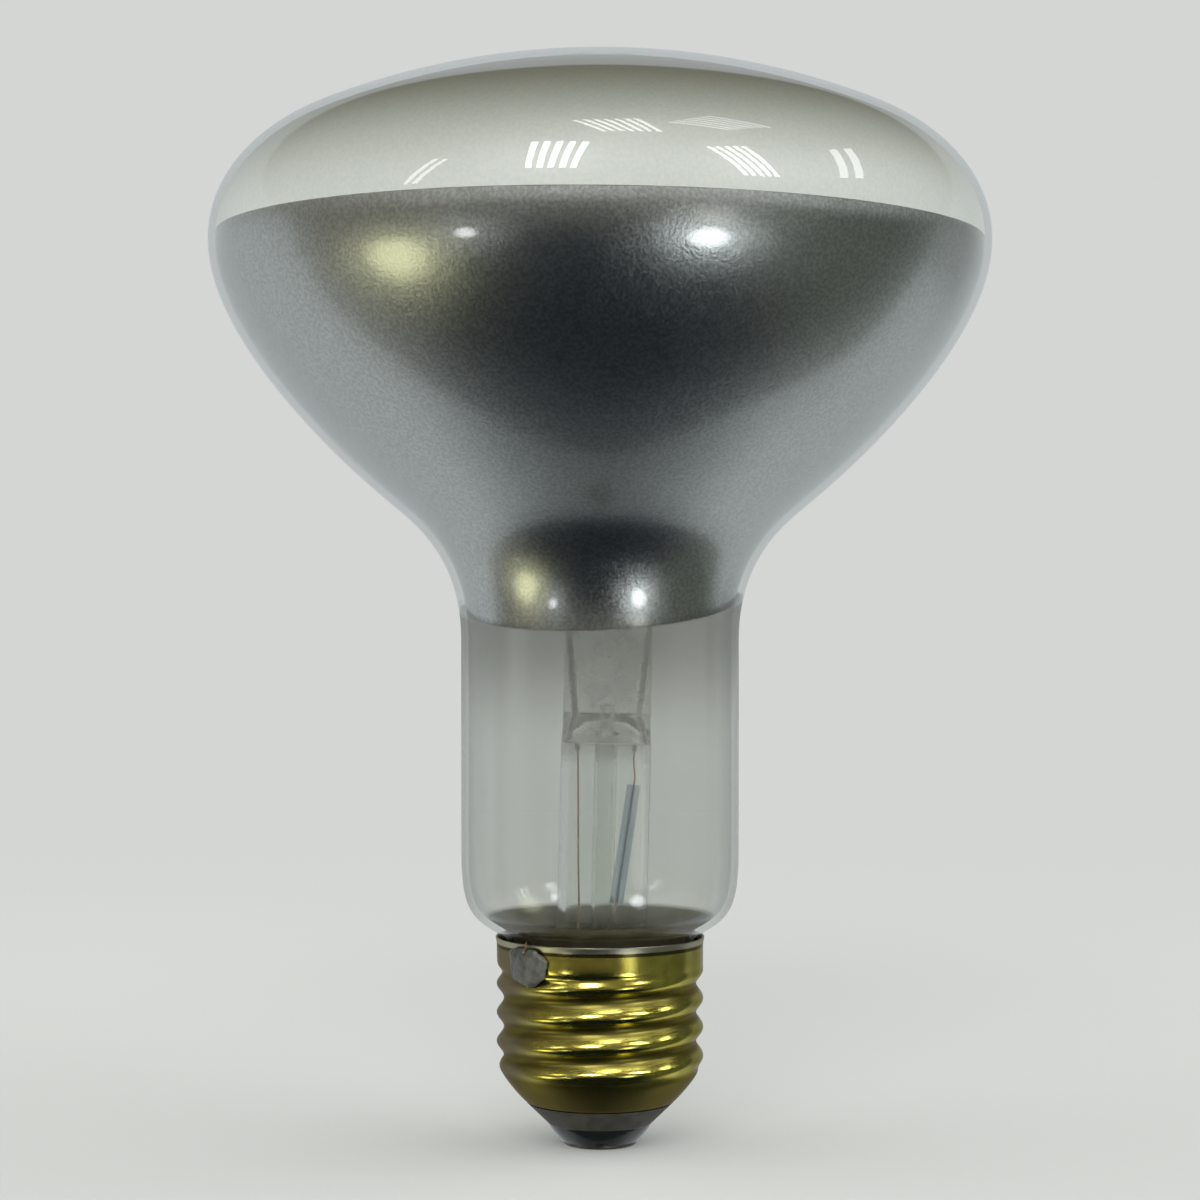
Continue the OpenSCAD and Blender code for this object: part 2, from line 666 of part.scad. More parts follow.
glass_bulb();
mirror_coating();
stem();
exhaust_tube();
arbor();
seal_wire(-1);  // left_seal_wire
seal_wire(1);  // right_seal_wire
inner_lead(-1);  // left_inner_lead
inner_lead(1);  // right_inner_lead
support_wire(45);  // support_wire_1
support_wire(90);  // support_wire_2
support_wire(135);  // support_wire_3
filament();
side_lead();
fuse_lead();
fuse_wire();
fuse_sleeve();
contact_lead();
cap_shell();
cap_cement();
cap_insulator();
centre_contact();
contact_solder();
side_solder();
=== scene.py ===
import json
import math
import bpy
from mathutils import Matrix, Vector

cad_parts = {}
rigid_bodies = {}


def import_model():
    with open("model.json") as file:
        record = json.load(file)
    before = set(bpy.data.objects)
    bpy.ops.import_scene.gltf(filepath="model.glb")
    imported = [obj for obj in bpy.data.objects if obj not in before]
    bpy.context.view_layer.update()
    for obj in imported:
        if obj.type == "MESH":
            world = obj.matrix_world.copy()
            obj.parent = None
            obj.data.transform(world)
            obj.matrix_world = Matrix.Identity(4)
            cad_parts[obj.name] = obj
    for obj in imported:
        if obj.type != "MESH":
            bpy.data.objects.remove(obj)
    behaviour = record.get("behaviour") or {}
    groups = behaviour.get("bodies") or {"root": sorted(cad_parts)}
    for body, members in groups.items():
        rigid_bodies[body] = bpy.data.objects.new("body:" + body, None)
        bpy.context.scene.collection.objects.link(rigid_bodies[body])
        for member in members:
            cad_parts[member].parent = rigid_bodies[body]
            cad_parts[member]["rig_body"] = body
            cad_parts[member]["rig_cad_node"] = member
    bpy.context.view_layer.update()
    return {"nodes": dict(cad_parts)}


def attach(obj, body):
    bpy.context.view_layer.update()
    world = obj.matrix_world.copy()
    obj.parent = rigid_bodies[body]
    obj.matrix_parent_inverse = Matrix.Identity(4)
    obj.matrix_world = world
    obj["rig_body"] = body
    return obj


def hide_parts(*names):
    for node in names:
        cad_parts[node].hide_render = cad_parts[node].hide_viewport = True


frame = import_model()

scene = bpy.context.scene
scene.view_settings.view_transform = "Standard"

MM = 0.001
FULL_TURN = 2 * math.pi

# The camera stands level in front of the lamp, on the side that looks along +Y
CAMERA_AWAY = 350 * MM
CAMERA_UP = 68.46 * MM
LENS = 83.27
SENSOR = 36
camera = bpy.data.objects.new("camera", bpy.data.cameras.new("camera"))
camera.data.lens = LENS
camera.data.sensor_width = SENSOR
camera.data.clip_start = 0.01
camera.location = (0, -CAMERA_AWAY, CAMERA_UP)
camera.rotation_euler = (math.pi / 2, 0, 0)
scene.collection.objects.link(camera)
scene.camera = camera

# Sizes of the lamp that its pieces share
MIRROR_TOP_Z = 113.6 * MM
MIRROR_TOP_TILT = math.radians(0.5)
MIRROR_LOW_Z = 67.5 * MM
MIRROR_FRONT_TILT = math.radians(9.8)
MIRROR_SIDE_TILT = math.radians(-2.4)
PINCH_LOW_Z = 47 * MM
PINCH_FULL_Z = 52 * MM
FILM_GAP = 0.06 * MM
FILM_T = 0.12 * MM
HEAD_MIDDLE = Vector((0, 0, 95 * MM))
# Upward normals of the two planes that end the mirror
MIRROR_TOP_UP = Vector((math.sin(MIRROR_TOP_TILT), 0, math.cos(MIRROR_TOP_TILT)))
MIRROR_LOW_UP = Vector((
    math.cos(MIRROR_FRONT_TILT) * math.sin(MIRROR_SIDE_TILT),
    -math.sin(MIRROR_FRONT_TILT),
    math.cos(MIRROR_FRONT_TILT) * math.cos(MIRROR_SIDE_TILT),
))

# Pale grey of what shows behind the lamp, and of the floor close to it
BACKDROP = (0.66, 0.67, 0.66, 1)
FLOOR_NEAR = (0.63, 0.64, 0.63, 1)
# Distances from the lamp between which the floor turns into the backdrop
FLOOR_TURNS = (0.12, 0.55)
FLOOR_RADIUS = 3


# Node trees
def cleared(owner):
    owner.use_nodes = True
    owner.node_tree.nodes.clear()
    return owner.node_tree


def feed(tree, socket, value):
    """Links an output to a socket, or sets the socket's own value."""
    if isinstance(value, bpy.types.NodeSocket):
        tree.links.new(value, socket)
    else:
        socket.default_value = value


def add(tree, kind, settings=None, **inputs):
    """Adds a node; the words of an input's name are joined by underscores."""
    made = tree.nodes.new(kind)
    for key, value in (settings or {}).items():
        setattr(made, key, value)
    for key, value in inputs.items():
        feed(tree, made.inputs[key.replace("_", " ")], value)
    return made


def maths(tree, operation, *values):
    made = tree.nodes.new("ShaderNodeMath")
    made.operation = operation
    for socket, value in zip(made.inputs, values):
        feed(tree, socket, value)
    return made.outputs[0]


def dot(tree, a, b):
    made = tree.nodes.new("ShaderNodeVectorMath")
    made.operation = "DOT_PRODUCT"
    feed(tree, made.inputs[0], a)
    feed(tree, made.inputs[1], b)
    return made.outputs["Value"]


def step_up(tree, value, low, high):
    """Goes smoothly from 0 at low to 1 at high."""
    made = tree.nodes.new("ShaderNodeMapRange")
    made.interpolation_type = "SMOOTHSTEP"
    feed(tree, made.inputs["Value"], value)
    made.inputs["From Min"].default_value = low
    made.inputs["From Max"].default_value = high
    return made.outputs["Result"]


def blend_colours(tree, factor, a, b):
    made = tree.nodes.new("ShaderNodeMix")
    made.data_type = "RGBA"
    feed(tree, made.inputs[0], factor)
    feed(tree, made.inputs[6], a)
    feed(tree, made.inputs[7], b)
    return made.outputs[2]


def blend_shaders(tree, factor, a, b):
    made = tree.nodes.new("ShaderNodeMixShader")
    feed(tree, made.inputs[0], factor)
    feed(tree, made.inputs[1], a)
    feed(tree, made.inputs[2], b)
    return made.outputs[0]


def surface(tree, shader):
    add(tree, "ShaderNodeOutputMaterial", Surface=shader)


def object_place(tree):
    return add(tree, "ShaderNodeTexCoord").outputs["Object"]


def new_group(name, inputs, outputs):
    group = bpy.data.node_groups.new(name, "ShaderNodeTree")
    for label, kind, value in inputs:
        socket = group.interface.new_socket(label, in_out="INPUT", socket_type=kind)
        socket.default_value = value
    for label, kind in outputs:
        group.interface.new_socket(label, in_out="OUTPUT", socket_type=kind)
    return group, group.nodes.new("NodeGroupInput"), group.nodes.new("NodeGroupOutput")


def use_group(tree, group, **inputs):
    made = tree.nodes.new("ShaderNodeGroup")
    made.node_tree = group
    for key, value in inputs.items():
        feed(tree, made.inputs[key.replace("_", " ")], value)
    return made


# What the glass and the metal reflect
def heading(azimuth, elevation):
    """The direction of a thing seen in the lamp: azimuth 0 is the camera's side, 90 is +X."""
    a = math.radians(azimuth)
    e = math.radians(elevation)
    return Vector((math.sin(a) * math.cos(e), -math.cos(a) * math.cos(e), math.sin(e)))


# Half of a tube's share of the space that it has in its bank
TUBE_HALF_SHARE = 0.27


def lamp_bank_group():
    """A bank of upright lamp tubes: bars side by side in a frame that faces the lamp."""
    group, given, result = new_group(
        "lamp_bank",
        [
            ("Direction", "NodeSocketVector", (0, 0, 0)),
            ("Towards", "NodeSocketVector", (0, -1, 0)),
            ("Across", "NodeSocketVector", (1, 0, 0)),
            ("Along", "NodeSocketVector", (0, 0, 1)),
            ("Half width", "NodeSocketFloat", 0.1),
            ("Half height", "NodeSocketFloat", 0.1),
            ("Tubes", "NodeSocketFloat", 5.0),
            ("Slant", "NodeSocketFloat", 0.0),
        ],
        [("Mask", "NodeSocketFloat")],
    )
    direction = given.outputs["Direction"]
    u = dot(group, direction, given.outputs["Across"])
    v = dot(group, direction, given.outputs["Along"])
    facing = maths(group, "GREATER_THAN", dot(group, direction, given.outputs["Towards"]), 0.0)
    leaned = maths(group, "MULTIPLY_ADD", v, given.outputs["Slant"], u)
    across = maths(group, "DIVIDE", leaned, given.outputs["Half width"])
    count = maths(group, "MULTIPLY", maths(group, "MULTIPLY_ADD", across, 0.5, 0.5), given.outputs["Tubes"])
    part = maths(group, "FRACT", count)
    off_middle = maths(group, "ABSOLUTE", maths(group, "SUBTRACT", part, 0.5))
    bar = maths(group, "LESS_THAN", off_middle, TUBE_HALF_SHARE)
    wide = maths(group, "LESS_THAN", maths(group, "ABSOLUTE", across), 1.0)
    tall = maths(group, "LESS_THAN", maths(group, "ABSOLUTE", v), given.outputs["Half height"])
    inside = maths(group, "MULTIPLY", tall, facing)
    mask = maths(group, "MULTIPLY", maths(group, "MULTIPLY", bar, wide), inside)
    feed(group, result.inputs["Mask"], mask)
    return group


# Azimuth, elevation, half width, half height, tubes, slant and strength of each bank
LAMP_BANKS = [
    (-14.5, 39.4, 0.13, 0.21, 5, 0.0, 16),
    (10.6, 68.0, 0.12, 0.11, 7, 0.3, 10),
    (66.1, 65.4, 0.12, 0.10, 6, 0.5, 6),
    (46.6, 34.4, 0.10, 0.21, 5, 0.1, 15),
    (-53.7, 26.3, 0.05, 0.17, 2, -0.2, 8),
    (84.6, 32.8, 0.10, 0.16, 2, -0.5, 7),
]
# Azimuth, elevation, full and fading half angle, strength and colour of each glow.
# The last one is dark: the cap as the mirror's flank sees it.
GLOWS = [
    (33, -9, 3, 9, 1.15, (1.0, 0.98, 0.90, 1)),
    (33, -25, 2, 7.5, 8, (0.93, 0.97, 1.0, 1)),
    (-40, -21, 1, 4, 7, (0.95, 0.97, 1.0, 1)),
    (-66, -28, 3, 12, 2.6, (1.0, 0.98, 0.60, 1)),
    (180, -79, 3, 5.5, 0.0, (1.0, 1.0, 1.0, 1)),
]
ROOM = (0.19, 0.18, 0.155, 1)
ROOM_RIGHT = (0.105, 0.118, 0.10, 1)
SHADE = (0.008, 0.011, 0.018, 1)
PAPER = (0.58, 0.61, 0.63, 1)


def reflected_room(tree, direction):
    """Pale paper round the back, a dim room in front with its lamps, and a dark shape low in the middle."""
    split = add(tree, "ShaderNodeSeparateXYZ", Vector=direction)
    x, y, z = split.outputs
    down = maths(tree, "MAXIMUM", maths(tree, "MULTIPLY", z, -1.0), 0.0)
    up = maths(tree, "MAXIMUM", z, 0.0)
    edge = maths(tree, "MULTIPLY_ADD", maths(tree, "MINIMUM", x, 0.0), 0.2, 0.345)
    edge = maths(tree, "MULTIPLY", edge, step_up(tree, down, 1.05, 0.5))
    edge = maths(tree, "MULTIPLY_ADD", up, 0.8, edge)
    paper = step_up(tree, maths(tree, "SUBTRACT", y, edge), -0.03, 0.03)
    shaded = maths(tree, "MULTIPLY_ADD", step_up(tree, down, 0.75, 0.99), -0.62, 1.0)
    paper = maths(tree, "MULTIPLY", paper, shaded)
    # The paper is dimmer on the right, near the level of the eye
    dim = maths(tree, "MULTIPLY", step_up(tree, x, 0.5, 0.75), step_up(tree, z, -0.35, -0.12))
    paper = maths(tree, "MULTIPLY", paper, maths(tree, "MULTIPLY_ADD", dim, -0.45, 1.0))
    body = step_up(tree, maths(tree, "ABSOLUTE", x), 0.84, 0.5)
    low = step_up(tree, z, 0.05, -0.40)
    room = blend_colours(tree, step_up(tree, x, 0.3, 0.9), ROOM, ROOM_RIGHT)
    colour = blend_colours(tree, maths(tree, "MULTIPLY", body, low), room, SHADE)
    colour = blend_colours(tree, paper, colour, PAPER)
    bank = lamp_bank_group()
    for azimuth, elevation, half_w, half_h, tubes, slant, strength in LAMP_BANKS:
        towards = heading(azimuth, elevation)
        across = towards.cross(Vector((0, 0, 1))).normalized() * -1
        mask = use_group(
            tree, bank, Direction=direction, Towards=towards, Across=across,
            Along=across.cross(towards) * -1, Half_width=half_w, Half_height=half_h,
            Tubes=tubes, Slant=slant,
        ).outputs["Mask"]
        colour = blend_colours(tree, mask, colour, (strength, strength, strength, 1))
    for azimuth, elevation, full, fading, strength, tint in GLOWS:
        near = dot(tree, direction, heading(azimuth, elevation))
        mask = step_up(tree, near, math.cos(math.radians(fading)), math.cos(math.radians(full)))
        lit = tuple(strength * c for c in tint[:3]) + (1,)
        colour = blend_colours(tree, mask, colour, lit)
    return colour


def studio_world():
    world = bpy.data.worlds.new("studio")
    scene.world = world
    tree = cleared(world)
    direction = add(tree, "ShaderNodeTexCoord").outputs["Generated"]
    path = add(tree, "ShaderNodeLightPath")
    split = add(tree, "ShaderNodeSeparateXYZ", Vector=direction)
    soft = blend_colours(
        tree, step_up(tree, split.outputs["Z"], 0.0, 0.9), (1.02, 1.04, 1.03, 1), (0.48, 0.475, 0.44, 1),
    )
    # More of the soft light comes from both sides than from the front
    sides = step_up(tree, maths(tree, "ABSOLUTE", split.outputs["X"]), 0.3, 0.95)
    soft = blend_colours(tree, sides, soft, (1.75, 1.78, 1.76, 1))
    soft = blend_colours(tree, step_up(tree, split.outputs["X"], 0.3, 0.95), soft, (2.0, 2.03, 2.01, 1))
    colour = blend_colours(tree, path.outputs["Is Glossy Ray"], soft, reflected_room(tree, direction))
    plain = maths(tree, "MAXIMUM", path.outputs["Is Camera Ray"], path.outputs["Is Transmission Ray"])
    colour = blend_colours(tree, plain, colour, BACKDROP)
    light = add(tree, "ShaderNodeBackground", Color=colour)
    add(tree, "ShaderNodeOutputWorld", Surface=light.outputs[0])
    world.cycles.sampling_method = "NONE"


def floor():
    """A pale floor whose far part takes the backdrop's own colour, so that no edge shows."""
    bpy.ops.mesh.primitive_circle_add(vertices=96, radius=FLOOR_RADIUS, fill_type="NGON", location=(0, 0, 0))
    made = bpy.context.object
    made.name = "floor"
    material = bpy.data.materials.new("pale_floor")
    tree = cleared(material)
    away = add(tree, "ShaderNodeVectorMath", {"operation": "LENGTH"}, Vector=object_place(tree))
    far = step_up(tree, away.outputs["Value"], *FLOOR_TURNS)
    near = add(tree, "ShaderNodeBsdfDiffuse", Color=FLOOR_NEAR)
    glow = add(tree, "ShaderNodeEmission", Color=BACKDROP)
    surface(tree, blend_shaders(tree, far, near.outputs[0], glow.outputs[0]))
    made.data.materials.append(material)
    made.visible_glossy = False


def softbox(name, place, aim, size, watts, colour):
    data = bpy.data.lights.new(name, "AREA")
    data.shape = "SQUARE"
    data.size = size
    data.energy = watts
    data.color = colour
    made = bpy.data.objects.new(name, data)
    made.location = place
    made.rotation_euler = (Vector(aim) - Vector(place)).to_track_quat("-Z", "Y").to_euler()
    made.visible_camera = False
    made.visible_glossy = False
    scene.collection.objects.link(made)


# Materials
def grain_group():
    """Fine grain: a coarse and a fine noise as one height, and the coarse one as a mask."""
    group, given, result = new_group(
        "grain",
        [("Place", "NodeSocketVector", (0, 0, 0)), ("Scale", "NodeSocketFloat", 1000.0)],
        [("Height", "NodeSocketFloat"), ("Mask", "NodeSocketFloat")],
    )
    coarse = add(
        group, "ShaderNodeTexNoise", Vector=given.outputs["Place"], Scale=given.outputs["Scale"],
        Detail=2.0, Roughness=0.5,
    )
    fine = add(
        group, "ShaderNodeTexNoise", Vector=given.outputs["Place"],
        Scale=maths(group, "MULTIPLY", given.outputs["Scale"], 2.7), Detail=1.0,
    )
    height = maths(group, "MULTIPLY_ADD", fine.outputs[0], 0.5, coarse.outputs[0])
    feed(group, result.inputs["Height"], height)
    feed(group, result.inputs["Mask"], step_up(group, coarse.outputs[0], 0.35, 0.65))
    return group


GRAIN = grain_group()


def above_edge(tree, place, up, z):
    """Height above the tilted plane that ends the mirror."""
    return maths(tree, "SUBTRACT", dot(tree, place, up), z * up.z)


def grain(tree, scale):
    return use_group(tree, GRAIN, Place=object_place(tree), Scale=scale)


def bumped(tree, height, strength, distance):
    return add(tree, "ShaderNodeBump", Height=height, Strength=strength, Distance=distance).outputs["Normal"]


def sheen_of_glass(tree, head_on=0.04):
    """How much a clear skin mirrors, from head on to edge on."""
    facing = add(tree, "ShaderNodeLayerWeight", Blend=0.5).outputs["Facing"]
    rise = maths(tree, "POWER", facing, 5.0)
    return maths(tree, "MULTIPLY_ADD", rise, 1 - head_on, head_on), facing


# Where each thing on the glass begins and is full, from the first height to the second
HAZE_THICKENS = (48 * MM, 67 * MM)
# Painted shade: the mirror's shadow on the neck's haze
HAZE_PAINTED_SHADE = (48 * MM, 64 * MM)
HAZE_FOOT = (27.5 * MM, 31.5 * MM)
STAIN_SPREADS = (29.0 * MM, 28.3 * MM)
# Painted shade on the crown's frost, dark at the top
CROWN_PAINTED_SHADE = (131.5 * MM, 112 * MM)
# The same for the haze's end, measured above the mirror's lower edge
HAZE_ENDS = (0.7 * MM, 0.1 * MM)


def clear_skin(name, middle, edge):
    """Thin clear glass: lets light through with a slight tint and mirrors more towards its edges."""
    material = bpy.data.materials.new(name)
    tree = cleared(material)
    mirrored, facing = sheen_of_glass(tree)
    tint = blend_colours(tree, maths(tree, "POWER", facing, 4.0), middle, edge)
    through = add(tree, "ShaderNodeBsdfTransparent", Color=tint)
    shine = add(tree, "ShaderNodeBsdfGlossy", Color=(1, 1, 1, 1), Roughness=0.015)
    skin = blend_shaders(tree, mirrored, through.outputs[0], shine.outputs[0])
    # A grey haze in faint upright streaks lies on the neck and thickens towards the mirror
    place = object_place(tree)
    height = add(tree, "ShaderNodeSeparateXYZ", Vector=place).outputs["Z"]
    drawn = add(tree, "ShaderNodeVectorMath", {"operation": "MULTIPLY"})
    feed(tree, drawn.inputs[0], place)
    drawn.inputs[1].default_value = (1, 1, 0.03)
    streak = use_group(tree, GRAIN, Place=drawn.outputs[0], Scale=170.0).outputs["Mask"]
    mist = maths(tree, "MULTIPLY_ADD", step_up(tree, height, *HAZE_THICKENS), 0.38, 0.16)
    mist = maths(tree, "MULTIPLY", mist, maths(tree, "MULTIPLY_ADD", streak, 0.35, 0.82))
    mist = maths(tree, "MAXIMUM", mist, maths(tree, "MULTIPLY", maths(tree, "POWER", facing, 3.0), 0.75))
    bare = step_up(tree, above_edge(tree, place, MIRROR_LOW_UP, MIRROR_LOW_Z), *HAZE_ENDS)
    bare = maths(tree, "MULTIPLY", bare, step_up(tree, height, *HAZE_FOOT))
    # Painted shade: the haze's grey is painted darker towards the mirror, standing for the mirror's shadow on
    # the neck
    mirror_shadow_share = step_up(tree, height, *HAZE_PAINTED_SHADE)
    tone = blend_colours(tree, mirror_shadow_share, (0.34, 0.35, 0.32, 1), (0.16, 0.165, 0.148, 1))
    grey = add(tree, "ShaderNodeBsdfDiffuse", Color=tone)
    surface(tree, blend_shaders(tree, maths(tree, "MULTIPLY", mist, bare), skin, grey.outputs[0]))
    return material


def frosted_skin():
    """The inside of the bulb: satin above the mirror, clear in the neck and brown at the seal."""
    material = bpy.data.materials.new("bulb_glass_inside")
    tree = cleared(material)
    place = object_place(tree)
    satin = step_up(tree, above_edge(tree, place, MIRROR_TOP_UP, MIRROR_TOP_Z), -0.02 * MM, 0.08 * MM)
    speck = grain(tree, 2400.0)
    height = add(tree, "ShaderNodeSeparateXYZ", Vector=place).outputs["Z"]
    # Painted shade: the frost is painted from pale low down to dark olive at the crown's top, standing for
    # the shade on the top
    painted_crown_shade = step_up(tree, height, *CROWN_PAINTED_SHADE)
    pale = blend_colours(tree, painted_crown_shade, (0.18, 0.18, 0.125, 1), (0.83, 0.855, 0.825, 1))
    dull = blend_colours(tree, painted_crown_shade, (0.16, 0.16, 0.11, 1), (0.78, 0.805, 0.775, 1))
    pale = blend_colours(tree, speck.outputs["Mask"], dull, pale)
    bump = bumped(tree, speck.outputs["Height"], 0.2, 0.06 * MM)
    lit = add(tree, "ShaderNodeBsdfDiffuse", Color=pale, Normal=bump)
    through = add(tree, "ShaderNodeBsdfTranslucent", Color=pale, Normal=bump)
    shine = add(tree, "ShaderNodeBsdfGlossy", Color=(0.9, 0.9, 0.9, 1), Roughness=0.45, Normal=bump)
    frost = blend_shaders(tree, 0.25, lit.outputs[0], through.outputs[0])
    frost = blend_shaders(tree, 0.10, frost, shine.outputs[0])
    mirrored, facing = sheen_of_glass(tree)
    tint = blend_colours(tree, maths(tree, "POWER", facing, 4.0), (0.93, 0.94, 0.93, 1), (0.6, 0.62, 0.6, 1))
    window = add(tree, "ShaderNodeBsdfTransparent", Color=tint)
    gloss = add(tree, "ShaderNodeBsdfGlossy", Color=(1, 1, 1, 1), Roughness=0.03)
    clear = blend_shaders(tree, mirrored, window.outputs[0], gloss.outputs[0])
    # The seal is stained by the cement
    blotch = use_group(tree, GRAIN, Place=place, Scale=260.0).outputs["Mask"]
    stained = maths(tree, "MULTIPLY", step_up(tree, height, *STAIN_SPREADS), 0.96)
    tan = blend_colours(tree, blotch, (0.07, 0.061, 0.036, 1), (0.115, 0.10, 0.064, 1))
    stain = add(tree, "ShaderNodeBsdfDiffuse", Color=tan)
    clear = blend_shaders(tree, stained, clear, stain.outputs[0])
    surface(tree, blend_shaders(tree, satin, clear, frost))
    return material


def mirror_film():
    """Evaporated metal on etched glass: a satin mirror with a fine crinkled grain."""
    material = bpy.data.materials.new("mirror_film")
    tree = cleared(material)
    place = object_place(tree)
    speck = grain(tree, 2600.0)
    colour = blend_colours(tree, speck.outputs["Mask"], (0.60, 0.605, 0.61, 1), (0.80, 0.805, 0.81, 1))
    rim = step_up(tree, add(tree, "ShaderNodeSeparateXYZ", Vector=place).outputs["Z"], 108 * MM, 113 * MM)
    rough = maths(tree, "MULTIPLY_ADD", speck.outputs["Mask"], 0.04, 0.285)
    rough = maths(tree, "MULTIPLY_ADD", rim, 0.05, rough)
    # The film ends in a coarse, glittering line
    last = step_up(tree, above_edge(tree, place, MIRROR_TOP_UP, MIRROR_TOP_Z), -2.2 * MM, -0.3 * MM)
    rough = maths(tree, "MULTIPLY_ADD", last, 0.2, rough)
    alpha = step_up(tree, above_edge(tree, place, MIRROR_LOW_UP, MIRROR_LOW_Z), -0.1 * MM, 0.5 * MM)
    film = add(
        tree, "ShaderNodeBsdfPrincipled", Base_Color=colour, Metallic=1.0, Roughness=rough, Alpha=alpha,
        Normal=bumped(tree, speck.outputs["Height"], 0.5, 0.06 * MM),
    )
    surface(tree, film.outputs[0])
    return material


def stem_glass(name, colour, milk=0.0):
    """Clear glass; milk is how whitish the squeezed pinch is."""
    material = bpy.data.materials.new(name)
    tree = cleared(material)
    glass = add(
        tree, "ShaderNodeBsdfPrincipled", Base_Color=colour, Roughness=0.03, IOR=1.5, Transmission_Weight=1.0,
    )
    place = object_place(tree)
    height = add(tree, "ShaderNodeSeparateXYZ", Vector=place).outputs["Z"]
    cloud = use_group(tree, GRAIN, Place=place, Scale=300.0).outputs["Mask"]
    squeezed = maths(tree, "MULTIPLY", step_up(tree, height, PINCH_LOW_Z, PINCH_FULL_Z), milk)
    share = maths(tree, "MULTIPLY", squeezed, maths(tree, "MULTIPLY_ADD", cloud, 0.6, 0.4))
    white = add(tree, "ShaderNodeBsdfDiffuse", Color=(0.50, 0.51, 0.49, 1))
    surface(tree, blend_shaders(tree, share, glass.outputs[0], white.outputs[0]))
    return material


def metal(name, dark, light, rough, scale, depth, metallic=1.0):
    """A drawn or cast metal: two tones in its grain, and a slight relief."""
    material = bpy.data.materials.new(name)
    tree = cleared(material)
    speck = grain(tree, scale)
    colour = blend_colours(tree, speck.outputs["Mask"], dark, light)
    roughness = maths(tree, "MULTIPLY_ADD", speck.outputs["Mask"], rough * 0.3, rough)
    made = add(
        tree, "ShaderNodeBsdfPrincipled", Base_Color=colour, Metallic=metallic, Roughness=roughness,
        Normal=bumped(tree, speck.outputs["Height"], depth, 0.1 * MM),
    )
    surface(tree, made.outputs[0])
    return material


# Where each thing on the cap begins and is full: by height, by radius and by x
THREAD_BELOW = (22.6 * MM, 21.4 * MM)
RIM_SHADOW_LINE = (24.9 * MM, 25.05 * MM)
GREY_RIM = (25.35 * MM, 25.5 * MM)
DARK_FOOT = (10 * MM, 6.5 * MM)
GROOVE_RADII = (12.75 * MM, 12.2 * MM)
SHADED_LEFT = (-6.5 * MM, -11 * MM)
SHADED_RIGHT = (8 * MM, 12.5 * MM)


def cap_brass():
    """Rolled brass: plain on the crests, with painted shade in the thread roots and towards both sides, and
    darker towards the foot.
    """
    material = bpy.data.materials.new("cap_brass")
    tree = cleared(material)
    place = object_place(tree)
    split = add(tree, "ShaderNodeSeparateXYZ", Vector=place)
    flat = add(tree, "ShaderNodeCombineXYZ", X=split.outputs["X"], Y=split.outputs["Y"])
    away = add(tree, "ShaderNodeVectorMath", {"operation": "LENGTH"}, Vector=flat.outputs[0])
    radius = away.outputs["Value"]
    speck = grain(tree, 700.0)
    threaded = step_up(tree, split.outputs["Z"], *THREAD_BELOW)
    # Painted shade: the thread roots are painted darker, standing for the dark that their hollows reflect
    groove_shade = maths(tree, "MULTIPLY", step_up(tree, radius, *GROOVE_RADII), threaded)
    # Painted shade: the brass is painted darker towards both sides, standing for the lamp's shadow on the
    # floor that they mirror; it is also darker towards the foot
    left = step_up(tree, split.outputs["X"], *SHADED_LEFT)
    right = step_up(tree, split.outputs["X"], *SHADED_RIGHT)
    low = step_up(tree, split.outputs["Z"], *DARK_FOOT)
    colour = blend_colours(tree, speck.outputs["Mask"], (0.66, 0.575, 0.115, 1), (0.76, 0.68, 0.16, 1))
    colour = blend_colours(tree, maths(tree, "MULTIPLY", right, 0.85), colour, (0.27, 0.25, 0.095, 1))
    left_shade_and_dark_foot = maths(tree, "MAXIMUM", maths(tree, "MULTIPLY", left, 0.97), maths(tree, "MULTIPLY", low, 0.9))
    colour = blend_colours(tree, left_shade_and_dark_foot, colour, (0.20, 0.168, 0.115, 1))
    colour = blend_colours(tree, maths(tree, "MULTIPLY", groove_shade, 0.85), colour, (0.13, 0.105, 0.025, 1))
    # The rim is grey, with a painted shadow line below it, where the rim's lip shades the band
    line = step_up(tree, split.outputs["Z"], *RIM_SHADOW_LINE)
    colour = blend_colours(tree, maths(tree, "MULTIPLY", line, 0.9), colour, (0.07, 0.06, 0.025, 1))
    rim = step_up(tree, split.outputs["Z"], *GREY_RIM)
    colour = blend_colours(tree, rim, colour, (0.46, 0.44, 0.34, 1))
    dull = maths(tree, "MAXIMUM", maths(tree, "MAXIMUM", left_shade_and_dark_foot, groove_shade), rim)
    rough = maths(tree, "MULTIPLY_ADD", dull, 0.16, 0.19)
    made = add(
        tree, "ShaderNodeBsdfPrincipled", Base_Color=colour, Metallic=1.0, Roughness=rough,
        Specular_Tint=(0.62, 0.58, 0.50, 1), Normal=bumped(tree, speck.outputs["Height"], 0.08, 0.05 * MM),
    )
    surface(tree, made.outputs[0])
    return material


